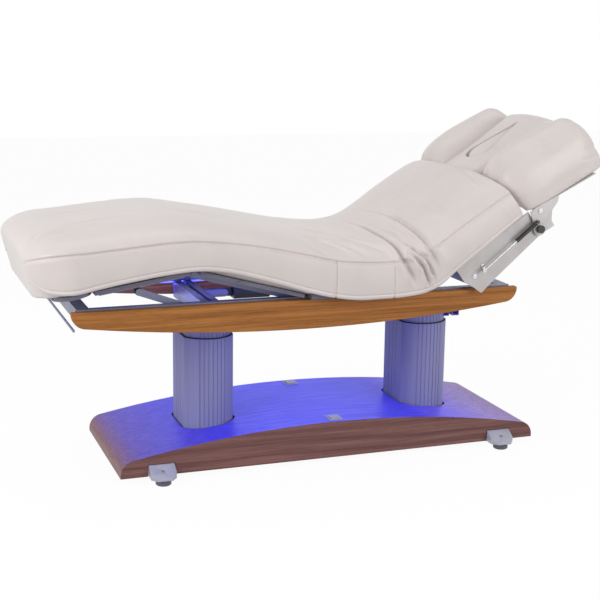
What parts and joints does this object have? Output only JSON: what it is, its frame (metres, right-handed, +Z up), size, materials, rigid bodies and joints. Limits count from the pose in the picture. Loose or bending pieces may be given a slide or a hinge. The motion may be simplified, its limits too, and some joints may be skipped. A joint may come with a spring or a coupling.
{
  "type": "massage table",
  "caption": "Motorised treatment table with a soft sectioned top, tilting back, leg and head parts, curved wooden rails and a wooden base carrying lifting columns.",
  "frame": {"origin": "on the floor, under the middle of the table's overall length and width in the stored pose", "axes": "+X along the table toward the head end, +Y across it toward the rear, +Z up"},
  "size_m": [1.936, 0.75, 1.1095],
  "materials": {
    "base_wood": "satin lacquer over dark brown straight-grained wood",
    "rail_wood": "satin lacquer over brown wood, grain along the rail",
    "plywood": "bare birch plywood",
    "leatherette": "soft matt leatherette, pale warm grey",
    "column_aluminium": "clear anodised, finely ribbed",
    "black_rubber": "matt",
    "black_plastic": "fine grain",
    "dark_painted_steel": "semi-gloss powder coat",
    "black_painted_steel": "gloss paint",
    "cast_grey": "light grey powder coat",
    "grey_painted_steel": "light grey powder coat",
    "bright_steel": "polished",
    "heating_film": "carbon heating film with a woven backing",
    "light_bar": "milky diffuser over blue light strips"
  },
  "bodies": {
    "base": {"base_cover": "base_wood", "base_chassis": "dark_painted_steel", "foot_brackets": "cast_grey", "column_outer_left": "column_aluminium", "column_outer_right": "column_aluminium", "column_gaskets": "black_rubber", "column_wipers": "black_rubber", "lift_tubes": "bright_steel", "switch_bezels": "cast_grey"},
    "foot_fl": {"foot_front_left": "black_plastic"},
    "foot_fr": {"foot_front_right": "black_plastic"},
    "foot_rl": {"foot_rear_left": "black_plastic"},
    "foot_rr": {"foot_rear_right": "black_plastic"},
    "front_switch": {"rocker_front": "black_plastic"},
    "rear_switch": {"rocker_rear": "black_plastic"},
    "carriage": {"column_inner_left": "column_aluminium", "column_inner_right": "column_aluminium", "column_heads": "dark_painted_steel", "lift_motors": "black_plastic", "side_tubes": "grey_painted_steel", "end_tubes": "grey_painted_steel", "cross_tubes": "grey_painted_steel", "wood_rail_front": "rail_wood", "wood_rail_rear": "rail_wood", "frame_brackets": "grey_painted_steel", "hinge_pins": "bright_steel", "seat_board": "plywood", "seat_cushion": "leatherette", "control_box": "black_plastic", "led_bars": "light_bar", "paper_roll_bar": "grey_painted_steel", "back_actuator": "black_plastic", "leg_actuator": "black_plastic"},
    "back_drive": {"back_actuator_rod": "bright_steel"},
    "leg_drive": {"leg_actuator_rod": "bright_steel"},
    "support_arms": {"calf_arms": "grey_painted_steel", "arm_rollers": "black_rubber"},
    "thigh_section": {"thigh_frame": "grey_painted_steel", "thigh_board": "plywood", "thigh_cushion": "leatherette", "lap_fold": "leatherette"},
    "calf_section": {"calf_frame": "grey_painted_steel", "calf_board": "plywood", "calf_cushion": "leatherette", "knee_fold": "leatherette"},
    "back_section": {"back_frame": "grey_painted_steel", "back_board": "plywood", "heating_mat": "heating_film", "back_cushion": "leatherette", "side_plates": "grey_painted_steel", "hip_fold": "leatherette"},
    "head_section": {"head_brackets": "grey_painted_steel", "head_board": "plywood", "head_pad": "leatherette", "head_bolsters": "leatherette", "head_knobs": "black_plastic", "neck_fold": "leatherette"},
    "plug": {"face_plug": "leatherette"},
    "strut_inner": {"strut_rods": "bright_steel"},
    "strut_outer": {"strut_cylinders": "black_painted_steel"}
  },
  "joints": [
    {"name": "level_front_left", "type": "slide", "parent": "base", "child": "foot_fl", "axis": [0, 0, 1], "range_m": [-0.01, 0.003]},
    {"name": "level_front_right", "type": "slide", "parent": "base", "child": "foot_fr", "axis": [0, 0, 1], "range_m": [-0.01, 0.003]},
    {"name": "level_rear_left", "type": "slide", "parent": "base", "child": "foot_rl", "axis": [0, 0, 1], "range_m": [-0.01, 0.003]},
    {"name": "level_rear_right", "type": "slide", "parent": "base", "child": "foot_rr", "axis": [0, 0, 1], "range_m": [-0.01, 0.003]},
    {"name": "front_rocker_tilt", "type": "hinge", "parent": "base", "child": "front_switch", "pos_m": [0.06847, -0.22, 0.1415], "axis": [0, 1, 0], "range_deg": [-4, 4], "stiffness_Nm_per_rad": 1},
    {"name": "rear_rocker_tilt", "type": "hinge", "parent": "base", "child": "rear_switch", "pos_m": [0.06847, 0.22, 0.1415], "axis": [0, 1, 0], "range_deg": [-4, 4], "stiffness_Nm_per_rad": 1},
    {"name": "lift", "type": "slide", "parent": "base", "child": "carriage", "axis": [0, 0, 1], "range_m": [-0.05, 0.2]},
    {"name": "back_tilt", "type": "hinge", "parent": "carriage", "child": "back_section", "pos_m": [0.35247, 0, 0.58], "axis": [0, -1, 0], "range_deg": [-36, 36], "deforming": ["hip_fold"]},
    {"name": "thigh_tilt", "type": "hinge", "parent": "carriage", "child": "thigh_section", "pos_m": [-0.07353, 0, 0.58], "axis": [0, 1, 0], "range_deg": [-15, 20], "deforming": ["lap_fold"]},
    {"name": "calf_tilt", "type": "hinge", "parent": "thigh_section", "child": "calf_section", "pos_m": [-0.43382, 0, 0.67654], "axis": [0, 1, 0], "range_deg": [-32, 24], "deforming": ["knee_fold"]},
    {"name": "support_arm_swing", "type": "hinge", "parent": "carriage", "child": "support_arms", "pos_m": [-0.40153, 0, 0.545], "axis": [0, 1, 0], "range_deg": [-20.7, 27.6]},
    {"name": "head_tilt", "type": "hinge", "parent": "back_section", "child": "head_section", "pos_m": [0.7312, 0, 0.76987], "axis": [0, -1, 0], "range_deg": [-30, 9.5], "deforming": ["neck_fold"]},
    {"name": "face_plug_lift", "type": "slide", "parent": "head_section", "child": "plug", "axis": [-0.4462, 0, 0.8949], "range_m": [0, 0.22]},
    {"name": "back_drive_stroke", "type": "slide", "parent": "carriage", "child": "back_drive", "axis": [1, 0, 0], "range_m": [-0.0522, 0.0522]},
    {"name": "leg_drive_stroke", "type": "slide", "parent": "carriage", "child": "leg_drive", "axis": [-1, 0, 0], "range_m": [-0.0202, 0.0269]},
    {"name": "strut_swing", "type": "hinge", "parent": "back_section", "child": "strut_inner", "pos_m": [0.52925, 0, 0.64292], "axis": [0, -1, 0], "range_deg": [-1.36, 0.43]},
    {"name": "strut_stroke", "type": "slide", "parent": "strut_inner", "child": "strut_outer", "axis": [0.7788, 0, 0.6273], "range_m": [-0.00441, 0.0139]}
  ],
  "couplings": [
    {"joint": "calf_tilt", "follows": "thigh_tilt", "ratio": -1.6},
    {"joint": "support_arm_swing", "follows": "thigh_tilt", "ratio": 1.38},
    {"joint": "leg_drive_stroke", "follows": "thigh_tilt", "m_per_rad": 0.0768},
    {"joint": "back_drive_stroke", "follows": "back_tilt", "m_per_rad": 0.083},
    {"joint": "strut_swing", "follows": "head_tilt", "ratio": 0.045},
    {"joint": "strut_stroke", "follows": "head_tilt", "m_per_rad": -0.0265}
  ]
}
